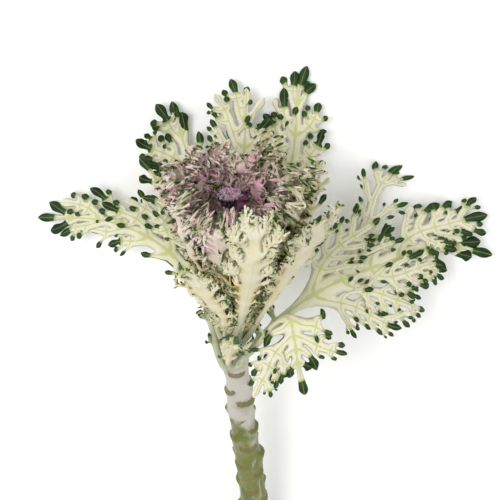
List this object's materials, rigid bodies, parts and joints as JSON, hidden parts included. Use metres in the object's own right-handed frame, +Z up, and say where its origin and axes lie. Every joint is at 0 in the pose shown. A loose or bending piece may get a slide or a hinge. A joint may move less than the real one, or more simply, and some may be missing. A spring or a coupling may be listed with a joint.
{
  "type": "ornamental kale",
  "caption": "Cut ornamental kale of the feathered kind: cream leaves with dark green lobe tips round a blushing head with a plum heart, on a scarred stem, lying down",
  "frame": {"origin": "On the surface that the plant lies on, under the middle of its whole outline seen from above.", "axes": "+Z is up from the surface. +Y runs from the cut end of the stem to the head. +X is to the right when the plant is seen from above with its head away from the viewer."},
  "size_m": [0.186, 0.2398, 0.0896],
  "materials": {
    "stem_skin": "Green stem skin that fades to a pale mauve grey below the head, with brown leaf scars, satin",
    "cream_leaf": "Cream leaf tissue with yellow-green veins and dark green lobe tips, waxy satin",
    "blush_leaf": "Cream leaf tissue that turns pink mauve towards the middle, with small dark green tips, waxy satin",
    "plum_leaf": "Young leaf tissue, dark plum with grey mauve tips, satin"
  },
  "bodies": {
    "root": {"stem": "stem_skin", "leaf_right": "cream_leaf", "leaf_lower": "cream_leaf", "leaf_left": "cream_leaf", "leaf_left_upper": "cream_leaf", "leaf_back_left": "cream_leaf", "leaf_back_mid": "cream_leaf", "leaf_back_right": "cream_leaf", "leaf_right_upper": "cream_leaf", "leaf_cup": "cream_leaf", "leaf_front": "cream_leaf", "leaf_star": "cream_leaf", "leaf_basal": "cream_leaf", "head": "blush_leaf", "heart": "plum_leaf"}
  },
  "joints": []
}
